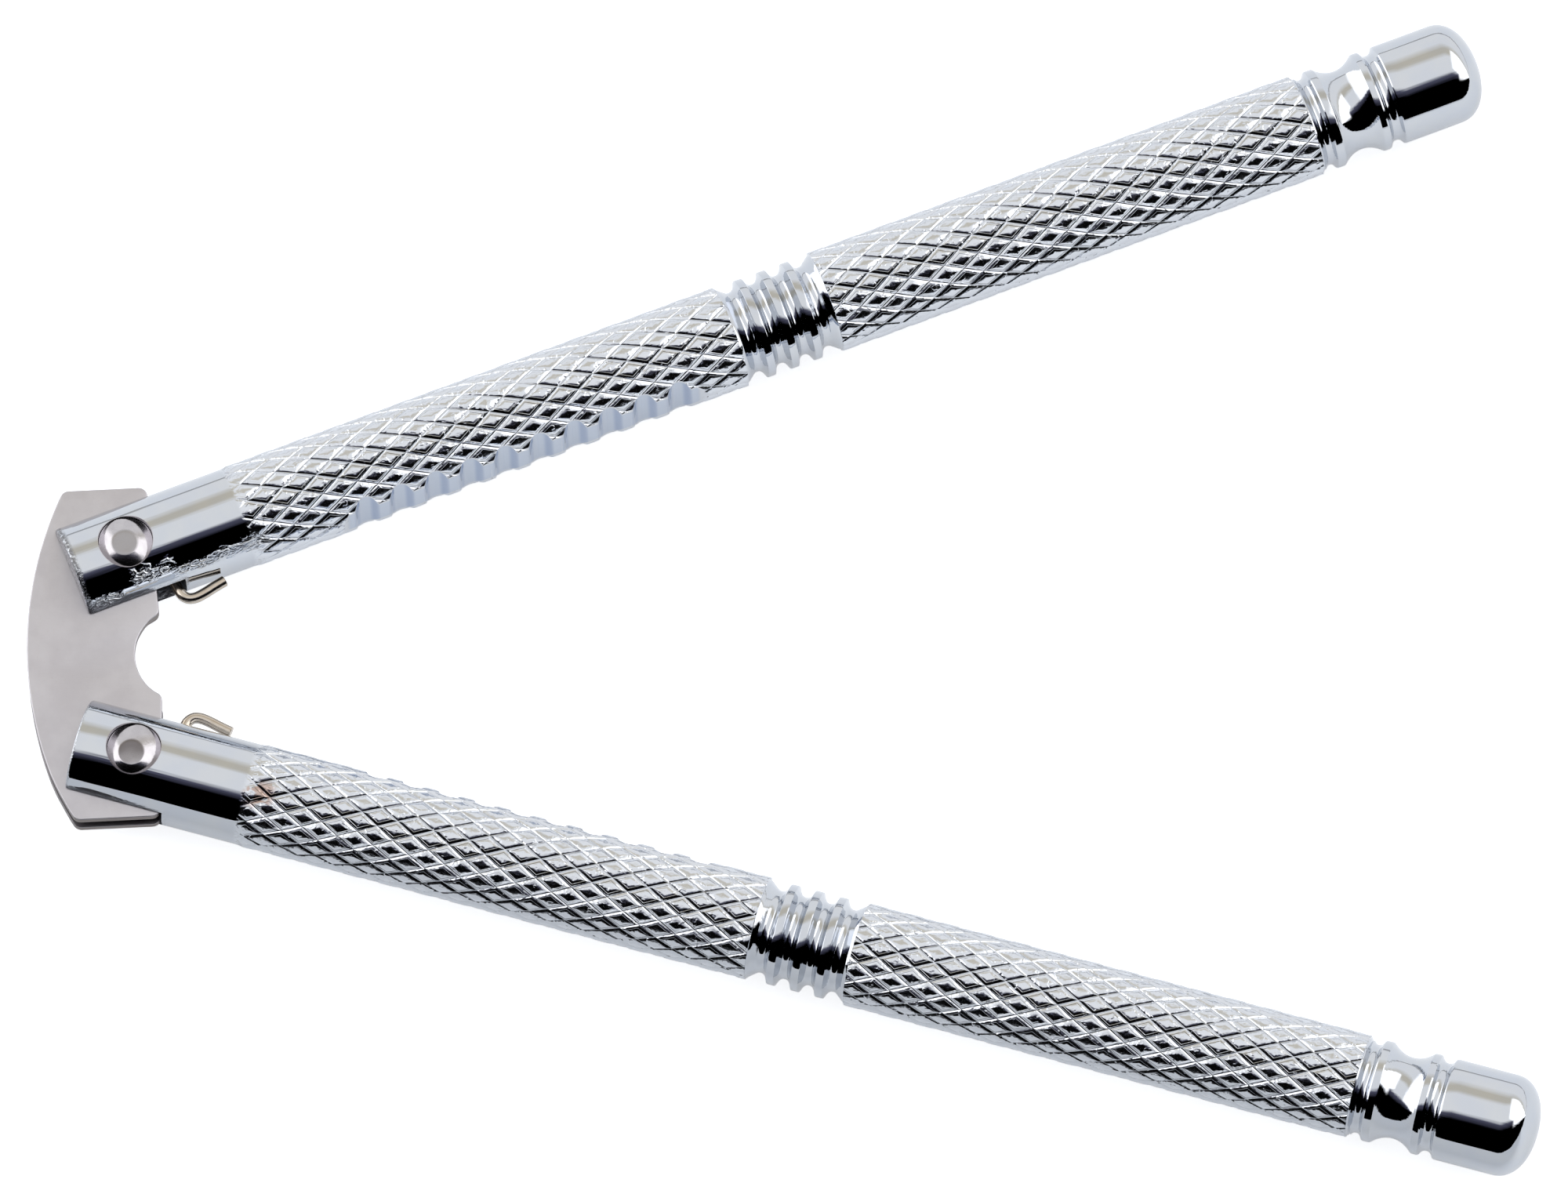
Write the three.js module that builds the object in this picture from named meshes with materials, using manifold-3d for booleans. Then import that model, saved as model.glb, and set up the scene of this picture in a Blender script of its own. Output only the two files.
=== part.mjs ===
// Spring-opened nutcracker: two slotted, knurled steel rods pivoted on rivets
// between a pair of stamped hinge plates, with a wire spring lying between the
// plates. Millimetres, +Z up. The hinge plates lie flat in XY, +X runs from the
// hinge to the tips, and the object lies on its two round handles at z = 0.
import * as THREE from 'three';
import { mergeVertices } from 'three/addons/utils/BufferGeometryUtils.js';
import Module from 'manifold-3d';

// ---- driving dimensions ---------------------------------------------------
const OPEN_DEG = 18.7;            // each handle's angle to the middle line, at rest
const PIVOT_Y = 10.8;             // rivet centres, either side of the middle line

const ROD_R = 5.0;                // turned bar
const KNURL_R = 5.1;              // knurl stands a little proud of the bar
const ROD_START = -5.7;           // hinge end of the bar, from the pivot
const ROD_TIP = 141.1;            // cap end of the bar, from the pivot
const KNURL1 = [11.5, 62.9];      // jaw stretch
const KNURL2 = [72.8, 123.2];     // grip stretch
const GROOVES = [64.2, 66.63, 69.07, 71.5];   // turned grooves between them
const GROOVE_R = 4.1;             // radius at the groove bottom
const GROOVE_HALF = 0.82;         // half width of a groove at the surface
const NECK_R = 4.4;               // narrow grooves beside the cap neck
const COVE_R = 4.05;              // wide cove between them
const CAP_START = 132.1;
const DOME = 3.3;                 // length of the rounded end
const ROD_SIDES = 32;

const SLOT_END = 4.3;             // closed end of the slot, from the pivot
const SLOT_HALF = 1.6;            // half width of the slot
const HOLE_R = 1.83;              // rivet hole in the bar
const SPOT_R = 2.78;              // spot face for the rivet head
const SPOT_Z = 3.4;               // its floor, from the bar's axis

const JAW_FIRST = 23.3;           // first scallop, from the pivot
const JAW_PITCH = 3.62;
const JAW_COUNT = 10;
const JAW_CREST = 4.5;            // jaw flat, from the bar's axis
const JAW_VALLEY = 3.75;          // scallop bottom, from the bar's axis
const JAW_CUT_R = 1.25;           // radius of the scallop cutter

const PLATE_T = 0.8;
const PLATE_GAP = 1.25;           // space between the plates, for the wire
const PLATE_HALF_H = 17.6;        // half height of the plates
const PLATE_END_FROM = 12, PLATE_LOWER_END = 0.866;  // the lower end past this is shortened
const BACK_NOTCH_EXTRA = 0.6;  // the back plate's notch is this much larger
const PLATE_BACK = -10.1;         // crown of the arched back edge
const PLATE_HOLE_R = 1.85;

const SHANK_R = 1.75;
const HEAD_R = 2.6;
const HEAD_FLAT_R = 1.35;
const HEAD_BASE = 3.6;            // underside of the head, from the middle plane
const HEAD_RIM = 4.0;
const HEAD_TOP = 4.85;

const WIRE_R = 0.55;
const WIRE_LOOP_R = 2.4;          // wire centre line round a rivet

// ---- solids ---------------------------------------------------------------
const wasm = await Module();
wasm.setup();

function toSolid(geometry) {
  const g = geometry.clone();
  g.deleteAttribute('normal');
  g.deleteAttribute('uv');
  const m = mergeVertices(g, 1e-4);
  const index = m.index.array;
  const tri = [];
  for (let i = 0; i < index.length; i += 3) {
    const a = index[i], b = index[i + 1], c = index[i + 2];
    if (a !== b && b !== c && c !== a) tri.push(a, b, c);
  }
  return new wasm.Manifold(new wasm.Mesh({
    numProp: 3,
    vertProperties: new Float32Array(m.attributes.position.array),
    triVerts: new Uint32Array(tri),
  }));
}

function toGeometry(solid) {
  const mesh = solid.getMesh();
  const g = new THREE.BufferGeometry();
  g.setAttribute('position', new THREE.BufferAttribute(new Float32Array(mesh.vertProperties), 3));
  g.setIndex(Array.from(mesh.triVerts));
  g.computeVertexNormals();
  return g;
}

// turned about Z from a profile of [radius, height] points
function turned(profile, sides) {
  return new THREE.LatheGeometry(profile.map(([r, h]) => new THREE.Vector2(r, h)), sides)
    .rotateX(Math.PI / 2);
}

function cylinderZ(r, z0, z1, sides) {
  return turned([[0, z0], [r, z0], [r, z1], [0, z1]], sides);
}

function mesh(name, geometry, colour, roughness, metalness) {
  const m = new THREE.Mesh(geometry, new THREE.MeshStandardMaterial({ color: colour, roughness, metalness }));
  m.name = name;
  return m;
}

// ---- handle: the bar along +X, pivot at the origin, jaw on its -Y side -----
function rodProfile() {
  const p = [[0, ROD_START], [ROD_R - 0.15, ROD_START], [ROD_R, ROD_START + 0.15]];
  p.push([ROD_R, KNURL1[0]], [KNURL_R, KNURL1[0] + 0.25], [KNURL_R, KNURL1[1]]);
  GROOVES.forEach((c, i) => {
    if (i > 0) p.push([ROD_R, c - GROOVE_HALF]);
    p.push([GROOVE_R + 0.25, c - 0.5], [GROOVE_R, c - 0.2], [GROOVE_R, c + 0.2], [GROOVE_R + 0.25, c + 0.5]);
    if (i < GROOVES.length - 1) p.push([ROD_R, c + GROOVE_HALF]);
  });
  p.push([KNURL_R, KNURL2[0]], [KNURL_R, KNURL2[1]]);
  p.push([NECK_R + 0.1, 123.55], [NECK_R, 124.1], [NECK_R + 0.1, 124.55], [ROD_R, 125.0], [ROD_R, 125.5]);
  p.push([COVE_R + 0.4, 126.2], [COVE_R + 0.1, 126.8], [COVE_R, 127.5], [COVE_R + 0.1, 128.3], [COVE_R + 0.4, 129.0]);
  p.push([ROD_R, 129.8], [ROD_R, 130.2], [NECK_R + 0.1, 130.7], [NECK_R, 131.1], [NECK_R + 0.1, 131.6]);
  p.push([ROD_R, CAP_START], [ROD_R, ROD_TIP - DOME]);
  const steps = 5;
  for (let i = 1; i <= steps; i++) {
    const s = Math.sin((i / steps) * Math.PI / 2);
    const r = i === steps ? 0 : ROD_R * Math.pow(1 - Math.pow(s, 2.2), 1 / 2.2);
    p.push([r, ROD_TIP - DOME + DOME * s]);
  }
  return p;
}

function handleGeometry() {
  const bar = turned(rodProfile(), ROD_SIDES).rotateY(Math.PI / 2);
  let solid = toSolid(bar);
  const slotLength = SLOT_END + 20;
  const slot = new THREE.BoxGeometry(slotLength, 20, 2 * SLOT_HALF)
    .translate(SLOT_END - slotLength / 2, 0, 0);
  solid = solid.subtract(toSolid(slot));
  solid = solid.subtract(toSolid(cylinderZ(HOLE_R, -8, 8, 24)));
  solid = solid.subtract(toSolid(cylinderZ(SPOT_R, SPOT_Z, 8, 32)));
  solid = solid.subtract(toSolid(cylinderZ(SPOT_R, -8, -SPOT_Z, 32)));
  // the jaw: a flat milled on the inner side, then scallops across it
  const half = JAW_PITCH / 2;
  const jawLength = (JAW_COUNT - 1) * JAW_PITCH + 2 * half;
  const jawStart = JAW_FIRST - half;
  const flat = new THREE.BoxGeometry(jawLength, 4, 20)
    .translate(jawStart + jawLength / 2, -JAW_CREST - 2, 0);
  solid = solid.subtract(toSolid(flat));
  for (let i = 0; i < JAW_COUNT; i++) {
    const cutter = cylinderZ(JAW_CUT_R, -8, 8, 24)
      .translate(JAW_FIRST + i * JAW_PITCH, -(JAW_VALLEY + JAW_CUT_R), 0);
    solid = solid.subtract(toSolid(cutter));
  }
  return toGeometry(solid);
}

function upperHandle() {
  const pivot = new THREE.Group();
  pivot.position.set(0, PIVOT_Y, 0);
  pivot.rotation.z = THREE.MathUtils.degToRad(OPEN_DEG);
  pivot.add(mesh('upper_handle', handleGeometry(), 0xd5dae2, 0.08, 1));
  return pivot;
}

function lowerHandle() {
  const pivot = new THREE.Group();
  pivot.position.set(0, -PIVOT_Y, 0);
  pivot.rotation.z = -THREE.MathUtils.degToRad(OPEN_DEG);
  const bar = mesh('lower_handle', handleGeometry(), 0xd5dae2, 0.08, 1);
  bar.rotation.x = Math.PI;       // the same bar, turned over
  pivot.add(bar);
  return pivot;
}

// ---- hinge plates ---------------------------------------------------------
// corners: [x, y, fillet radius]; a fillet is drawn as a short arc
function roundedOutline(corners) {
  const out = [];
  corners.forEach(([x, y, r], i) => {
    const here = new THREE.Vector2(x, y);
    if (!r) { out.push(here); return; }
    const prev = corners[(i + corners.length - 1) % corners.length];
    const next = corners[(i + 1) % corners.length];
    const a = new THREE.Vector2(prev[0], prev[1]).sub(here).normalize();
    const b = new THREE.Vector2(next[0], next[1]).sub(here).normalize();
    const half = Math.acos(THREE.MathUtils.clamp(a.dot(b), -1, 1)) / 2;
    const reach = r / Math.tan(half);
    const start = here.clone().addScaledVector(a, reach);
    const end = here.clone().addScaledVector(b, reach);
    const middle = here.clone().addScaledVector(a.clone().add(b).normalize(), r / Math.sin(half));
    const from = start.clone().sub(middle).angle();
    let sweep = end.clone().sub(middle).angle() - from;
    if (sweep > Math.PI) sweep -= 2 * Math.PI;
    if (sweep < -Math.PI) sweep += 2 * Math.PI;
    const steps = 5;
    for (let k = 0; k <= steps; k++) {
      const t = from + sweep * k / steps;
      out.push(new THREE.Vector2(middle.x + r * Math.cos(t), middle.y + r * Math.sin(t)));
    }
  });
  return out;
}

function plateOutline(notchExtra) {
  const corners = [];
  // notch between the handles, from its lower shoulder to its upper one
  const notchR = 4.9 + notchExtra, notchX = 5.3, shoulder = 4.27 + notchExtra;
  corners.push([2.2, -PLATE_HALF_H, 0.9]);
  corners.push([2.9, -shoulder, 0.9]);
  const from = Math.PI + Math.asin(shoulder / notchR), to = Math.PI - Math.asin(shoulder / notchR);
  for (let i = 1; i < 10; i++) {
    const t = from + (to - from) * i / 10;
    corners.push([notchX + notchR * Math.cos(t), notchR * Math.sin(t), 0]);
  }
  corners.push([2.9, shoulder, 0.9]);
  corners.push([2.2, PLATE_HALF_H, 0.9]);
  // arched back edge
  const backX = -6.0, rise = backX - PLATE_BACK;
  const backR = (PLATE_HALF_H ** 2 + rise ** 2) / (2 * rise);
  corners.push([backX, PLATE_HALF_H, 0.9]);
  const spread = Math.asin(PLATE_HALF_H / backR);
  for (let i = 1; i < 18; i++) {
    const t = Math.PI - spread + 2 * spread * i / 18;
    corners.push([PLATE_BACK + backR + backR * Math.cos(t), backR * Math.sin(t), 0]);
  }
  corners.push([backX, -PLATE_HALF_H, 0.9]);
  // the lower end is a little shorter than the upper one
  const end = PLATE_END_FROM;
  return roundedOutline(corners).map((p) =>
    p.y < -end ? new THREE.Vector2(p.x, -end + (p.y + end) * PLATE_LOWER_END) : p);
}

function plate(name, z, notchExtra) {
  const shape = new THREE.Shape(plateOutline(notchExtra));
  for (const y of [PIVOT_Y, -PIVOT_Y]) {
    const hole = new THREE.Path();
    hole.absarc(0, y, PLATE_HOLE_R, 0, 2 * Math.PI, true);
    shape.holes.push(hole);
  }
  const g = new THREE.ExtrudeGeometry(shape, { depth: PLATE_T, bevelEnabled: false, curveSegments: 24 });
  g.translate(0, 0, z);
  return mesh(name, g, 0xc9c6c9, 0.35, 1);
}

// ---- rivets ---------------------------------------------------------------
function rivet(name, y) {
  const half = [
    [SHANK_R, HEAD_BASE], [HEAD_R, HEAD_BASE], [HEAD_R, HEAD_RIM],
    [HEAD_R - 0.28, HEAD_RIM + 0.36], [HEAD_R - 0.7, HEAD_RIM + 0.64],
    [HEAD_FLAT_R, HEAD_TOP], [0, HEAD_TOP],
  ];
  const profile = [...half.map(([r, z]) => [r, -z]).reverse(), ...half];
  const m = mesh(name, turned(profile, 24), 0xb9b6ba, 0.25, 1);
  m.position.set(0, y, 0);
  return m;
}

// ---- spring ---------------------------------------------------------------
// One wire in the middle plane: straight behind the rivets, over the outside of
// each, out through the slot, and hooked out along the inside of the handle.
function springPath() {
  const c = Math.cos(THREE.MathUtils.degToRad(OPEN_DEG));
  const s = Math.sin(THREE.MathUtils.degToRad(OPEN_DEG));
  const onHandle = (u, v) => [u * c - v * s, PIVOT_Y + u * s + v * c];
  const points = [];
  for (let i = 0; i <= 8; i++) points.push([-WIRE_LOOP_R, PIVOT_Y * i / 8]);
  const leave = THREE.MathUtils.degToRad(32);
  for (let i = 1; i <= 10; i++) {
    const t = Math.PI + (leave - Math.PI) * i / 10;
    points.push([WIRE_LOOP_R * Math.cos(t), PIVOT_Y + WIRE_LOOP_R * Math.sin(t)]);
  }
  points.push([3.05, 10.4], [4.1, 8.75]);
  points.push(onHandle(3.45, -4.9), onHandle(3.62, -5.65), onHandle(4.05, -6.15),
    onHandle(4.7, -6.32), onHandle(5.6, -6.22), onHandle(6.8, -5.95), onHandle(8.0, -5.72));
  const lower = points.slice(1).map(([x, y]) => [x, -y]).reverse();
  return new THREE.CatmullRomCurve3(
    [...lower, ...points].map(([x, y]) => new THREE.Vector3(x, y, 0)), false, 'centripetal');
}

function spring() {
  const section = new THREE.Shape();
  const sides = 8;
  for (let i = 0; i < sides; i++) {
    const t = (i + 0.5) * 2 * Math.PI / sides;
    if (i) section.lineTo(WIRE_R * Math.cos(t), WIRE_R * Math.sin(t));
    else section.moveTo(WIRE_R * Math.cos(t), WIRE_R * Math.sin(t));
  }
  section.closePath();
  const g = new THREE.ExtrudeGeometry(section, { steps: 80, bevelEnabled: false, extrudePath: springPath() });
  return mesh('spring', g, 0xb0a59c, 0.2, 1);
}

// ---- assembly -------------------------------------------------------------
const assembly = new THREE.Group();
assembly.add(
  upperHandle(),
  lowerHandle(),
  plate('front_plate', PLATE_GAP / 2, 0),
  plate('back_plate', -PLATE_GAP / 2 - PLATE_T, BACK_NOTCH_EXTRA),
  rivet('upper_rivet', PIVOT_Y),
  rivet('lower_rivet', -PIVOT_Y),
  spring(),
);

// the origin is the middle of the underside of the whole object
assembly.updateMatrixWorld(true);
const box = new THREE.Box3().setFromObject(assembly, true);
assembly.position.set(-(box.min.x + box.max.x) / 2, 0, -box.min.z);

const nutcracker = new THREE.Group();
nutcracker.add(assembly);
export default nutcracker;
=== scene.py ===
import math
import random

import bmesh
import bpy
import numpy as np
from mathutils import Matrix, Vector, noise


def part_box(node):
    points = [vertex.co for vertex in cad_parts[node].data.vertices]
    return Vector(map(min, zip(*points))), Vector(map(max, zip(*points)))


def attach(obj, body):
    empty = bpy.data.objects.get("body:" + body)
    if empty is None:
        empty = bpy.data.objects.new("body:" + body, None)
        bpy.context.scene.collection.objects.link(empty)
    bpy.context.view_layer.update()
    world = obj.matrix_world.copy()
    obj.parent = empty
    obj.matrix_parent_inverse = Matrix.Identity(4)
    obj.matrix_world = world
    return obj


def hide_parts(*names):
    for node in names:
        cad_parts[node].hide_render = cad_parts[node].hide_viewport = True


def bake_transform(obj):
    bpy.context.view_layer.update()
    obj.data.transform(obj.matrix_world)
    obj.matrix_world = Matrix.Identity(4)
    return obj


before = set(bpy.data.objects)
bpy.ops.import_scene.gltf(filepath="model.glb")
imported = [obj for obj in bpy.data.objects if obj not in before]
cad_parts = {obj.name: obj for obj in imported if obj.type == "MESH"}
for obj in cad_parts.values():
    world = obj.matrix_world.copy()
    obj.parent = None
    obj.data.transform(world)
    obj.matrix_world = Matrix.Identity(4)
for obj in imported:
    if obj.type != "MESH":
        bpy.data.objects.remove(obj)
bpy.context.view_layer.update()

MM = 0.001

# ---- dimensions, in millimetres, as the CAD has them -------------------------
OPEN_DEG = 18.7
ROD_R = 5.0
KNURL_R = 5.1
ROD_START, ROD_TIP = -5.7, 141.1
KNURL1 = (11.5, 62.9)
KNURL2 = (72.8, 123.2)
GROOVES = (64.2, 66.63, 69.07, 71.5)
GROOVE_R = 4.1
NECK_R = 4.4
COVE_R = 4.05
DOME = 3.3
SLOT_END, SLOT_HALF = 4.3, 1.6
HOLE_R = 1.83
SPOT_R, SPOT_Z = 2.67, 3.4
JAW_FIRST, JAW_PITCH, JAW_COUNT = 23.3, 3.62, 10
JAW_CREST, JAW_VALLEY, JAW_CUT_R = 4.5, 3.75, 1.25
JAW_BLEND = 0.30               # how softly a crest runs into its scallops
JAW_STEPS = 260                # points along the whole milled jaw
JAW_CLEAR = 5.6                # where the jaw's cutter leaves the bar
CUT_REACH = 8.0                # how far a cutter reaches either way from the bar's axis
CUT_FAR = 9.0                  # outer end of the slot's and the jaw's cutters
SLOT_WIDE = 7.0                # half width of the slot's cutter
SLOT_STEPS = (44, 40)          # its wall is a net of this many cells, along and across
HOLE_SIDES, SPOT_SIDES = 48, 72

rivet_low, rivet_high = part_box("upper_rivet")
PIVOT_X = (rivet_low[0] + rivet_high[0]) / 2 / MM
PIVOT_Y = (rivet_low[1] + rivet_high[1]) / 2 / MM
AXIS_Z = (rivet_low[2] + rivet_high[2]) / 2 / MM


# ---- mesh helpers ---------------------------------------------------------------
def new_object(name, verts, faces):
    mesh = bpy.data.meshes.new(name)
    mesh.from_pydata([tuple(v) for v in verts], [], faces)
    mesh.update()
    obj = bpy.data.objects.new(name, mesh)
    bpy.context.scene.collection.objects.link(obj)
    return obj


def shade(obj, sharp_deg):
    mesh = obj.data
    mesh.polygons.foreach_set("use_smooth", [True] * len(mesh.polygons))
    mesh.set_sharp_from_angle(angle=math.radians(sharp_deg))
    mesh.update()


def ring(u, r, count):
    angles = np.arange(count) * 2 * math.pi / count
    return [(u, r * math.cos(a), r * math.sin(a)) for a in angles]


class Skin:
    """A closed surface built from rings along X, each ring ordered by its angle."""

    def __init__(self):
        self.verts, self.faces, self.last = [], [], None

    def add(self, points):
        start = len(self.verts)
        self.verts += points
        return list(range(start, start + len(points)))

    def angle(self, i):
        return math.atan2(self.verts[i][2], self.verts[i][1]) % (2 * math.pi)

    def point(self, u):
        """Close the last ring to a point on the axis."""
        index = self.add([(u, 0.0, 0.0)])[0]
        n = len(self.last)
        for i in range(n):
            self.faces.append((self.last[(i + 1) % n], self.last[i], index))

    def start(self, u, points):
        pole = self.add([(u, 0.0, 0.0)])[0]
        ids = self.add(points)
        n = len(ids)
        for i in range(n):
            self.faces.append((pole, ids[i], ids[(i + 1) % n]))
        self.last = ids

    def lathe(self, points):
        ids = self.add(points)
        if len(self.last) == len(ids):
            n = len(ids)
            for i in range(n):
                j = (i + 1) % n
                self.faces.append((self.last[i], ids[i], ids[j], self.last[j]))
        else:
            self.zip(self.last, ids)
        self.last = ids

    def zip(self, left, right):
        """Triangles between two rings whose points lie at different angles."""
        left = sorted(left, key=self.angle)
        right = sorted(right, key=self.angle)
        la = [self.angle(i) for i in left]
        ra = [self.angle(i) for i in right]
        i = j = 0
        nl, nr = len(left), len(right)
        while i < nl or j < nr:
            a0, b0 = left[i % nl], right[j % nr]
            next_l = la[i + 1] if i + 1 < nl else la[0] + 2 * math.pi
            next_r = ra[j + 1] if j + 1 < nr else ra[0] + 2 * math.pi
            if j >= nr or (i < nl and next_l <= next_r):
                self.faces.append((a0, b0, left[(i + 1) % nl]))
                i += 1
            else:
                self.faces.append((a0, b0, right[(j + 1) % nr]))
                j += 1


# ---- knurl -------------------------------------------------------------------------
STARTS = 16                    # grooves of each hand round the bar
NET_GAP = 1.75                 # distance between two grooves of one hand
DIAMOND = 3.6                  # length of one diamond along the bar
PHASE = (0.75, 0.15)           # where each hand's first groove starts, in grooves
# the shape of one diamond: distance in from the middle of the groove, height over its bottom
PAD = (
    (0.02, 0.0), (0.09, 0.054), (0.18, 0.103), (0.29, 0.141),      # rounded flank
    (0.325, 0.126),                                                # dip behind its lip
    (0.48, 0.182), (0.57, 0.196),                                  # raised middle
    (0.74, 0.199), (0.875, 0.186),                                 # flat top with a small dimple
)
PAD_TOP = 0.199
SIDE_STEPS = (0.0, 0.5)        # each side of a diamond, up to its next corner


class Knurl:
    """The knurled tube between two planes across the bar, as a mesh with two open ends."""

    def __init__(self, u0, u1, seed, fades_in):
        self.u0, self.u1, self.fades_in = u0, u1, fades_in
        self.rng = random.Random(seed)
        self.verts, self.faces, self.cells = [], [], {}
        margin = DIAMOND / 2 + 0.2
        for total in range(int(2 * u0 / DIAMOND) - 5, int(2 * u1 / DIAMOND) + 5):
            middle = (total + 1 + PHASE[0] + PHASE[1]) * DIAMOND / 2
            if u0 - margin < middle < u1 + margin:
                for turn in range(total % 2, 2 * STARTS, 2):
                    self.add_cell((total + turn) // 2, (total - turn) // 2)
        for i, j in list(self.cells):
            self.join(i, j)

    def vertex(self, p, q, height):
        u = (p + q + PHASE[0] + PHASE[1]) * DIAMOND / 2
        theta = (p - q + PHASE[0] - PHASE[1]) * math.pi / STARTS
        r = KNURL_R - PAD_TOP + height
        if self.fades_in:
            start = self.u0 + 0.12 + 0.1 * math.sin(9 * theta) + self.late
            t = min(max((u - start) / 0.3, 0), 1)
            r = ROD_R - 0.002 + (r - ROD_R + 0.002) * t
        self.verts.append((u, r * math.cos(theta), r * math.sin(theta)))
        return len(self.verts) - 1

    def add_cell(self, i, j):
        lean_p, lean_q = self.rng.gauss(0, 0.010), self.rng.gauss(0, 0.010)
        lift = self.rng.gauss(0, 0.004)
        self.late = self.rng.uniform(0, 0.25)
        rings = []
        for reach, height in PAD[:-1]:
            e = reach / NET_GAP
            corners = ((e, e), (1 - e, e), (1 - e, 1 - e), (e, 1 - e))
            ring_ids = []
            for n in range(4):
                (p0, q0), (p1, q1) = corners[n], corners[(n + 1) % 4]
                for s in SIDE_STEPS:
                    p, q = p0 + (p1 - p0) * s, q0 + (q1 - q0) * s
                    h = height
                    if height > 0:
                        h += lift + lean_p * (p - 0.5) + lean_q * (q - 0.5) + self.rng.gauss(0, 0.0022)
                    ring_ids.append(self.vertex(i + p, j + q, h))
            rings.append(ring_ids)
        middle = self.vertex(i + 0.5, j + 0.5, PAD[-1][1] + lift)
        count = len(rings[0])
        for outer, inner in zip(rings, rings[1:]):
            for n in range(count):
                m = (n + 1) % count
                self.faces.append((outer[n], outer[m], inner[m], inner[n]))
        for n in range(0, count, 2):
            self.faces.append((rings[-1][n], rings[-1][n + 1], rings[-1][(n + 2) % count], middle))
        self.cells[i, j] = rings[0]

    def cell(self, i, j):
        if i - j >= 2 * STARTS:
            i, j = i - STARTS, j + STARTS
        elif i - j < 0:
            i, j = i + STARTS, j - STARTS
        return self.cells.get((i, j))

    def join(self, i, j):
        """The groove bottoms past this diamond's two far sides, and where they cross."""
        here, right, left = self.cell(i, j), self.cell(i + 1, j), self.cell(i, j + 1)
        steps = len(SIDE_STEPS)
        count = 4 * steps
        for other, mine, theirs in ((right, steps, 4 * steps), (left, 2 * steps, steps)):
            if other:
                for n in range(steps):
                    self.faces.append((here[mine + n], other[(theirs - n) % count],
                                       other[theirs - n - 1], here[(mine + n + 1) % count]))
        ahead = self.cell(i + 1, j + 1)
        if right and left and ahead:
            self.faces.append((here[2 * steps], right[3 * steps], ahead[0], left[steps]))

    def trimmed(self):
        """Vertices, faces and the indices of both end loops after the cut at each plane."""
        bm = bmesh.new()
        made = [bm.verts.new(v) for v in self.verts]
        for f in self.faces:
            bm.faces.new([made[n] for n in f])
        for u, sign in ((self.u0, -1), (self.u1, 1)):
            geom = bm.verts[:] + bm.edges[:] + bm.faces[:]
            bmesh.ops.bisect_plane(bm, geom=geom, dist=1e-5, plane_co=(u, 0, 0),
                                   plane_no=(sign, 0, 0), clear_outer=True)
        bm.verts.index_update()
        verts = [tuple(v.co) for v in bm.verts]
        faces = [tuple(v.index for v in f.verts) for f in bm.faces]
        ends = {v.index for e in bm.edges if len(e.link_faces) == 1 for v in e.verts}
        bm.free()
        half = (self.u0 + self.u1) / 2
        return (verts, faces, [n for n in ends if verts[n][0] < half],
                [n for n in ends if verts[n][0] >= half])


# ---- handle ----------------------------------------------------------------------------
SIDES = 112


def arc_points(c, half, depth_r, top_r, steps):
    """Groove section: a round bottom and leaning sides up to the surface."""
    pts = []
    for n in range(steps + 1):
        x = -half + 2 * half * n / steps
        t = abs(x) / half
        r = depth_r + (top_r - depth_r) * t ** 2.6
        pts.append((c + x, r))
    return pts


def ridge_profile():
    """The turned grooves between the two knurled stretches."""
    pts = [(KNURL1[1] + ahead, r) for ahead, r in ((0.03, 4.88), (0.22, 4.78), (0.38, 4.65), (0.55, 4.50))]
    for n, c in enumerate(GROOVES):
        for u, r in arc_points(c, 0.84, GROOVE_R, ROD_R - 0.02, 12):
            if n == 0 and u < c - 0.5 or n == len(GROOVES) - 1 and u > c + 0.5:
                continue
            pts.append((u, r))
        if n < len(GROOVES) - 1:
            pts += [(c + 0.90, ROD_R), (GROOVES[n + 1] - 0.90, ROD_R)]
    return pts


def tail_profile():
    """The turned neck, the cove and the domed cap past the grip."""
    pts = [(123.23, 4.88), (123.36, 4.82), (123.5, 4.62)]
    pts += [(u, r) for u, r in arc_points(124.1, 0.62, NECK_R, 4.93, 10) if u > 123.55]
    pts += [(124.85, ROD_R), (125.45, ROD_R)]
    for n in range(17):
        x = -2.05 + 4.1 * n / 16
        pts.append((127.62 + x, COVE_R + (4.97 - COVE_R) * abs(x / 2.05) ** 2.1))
    pts += [(129.85, ROD_R), (130.25, ROD_R)]
    pts += arc_points(131.12, 0.72, NECK_R - 0.02, 4.93, 12)
    pts += [(131.93, 4.975), (132.02, ROD_R), (133.0, ROD_R), (135.0, ROD_R)]
    for n in range(0, 23):
        s = math.sin(n / 23 * math.pi / 2)
        pts.append((ROD_TIP - DOME + DOME * s, ROD_R * (1 - s ** 2.2) ** (1 / 2.2)))
    return pts


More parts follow.
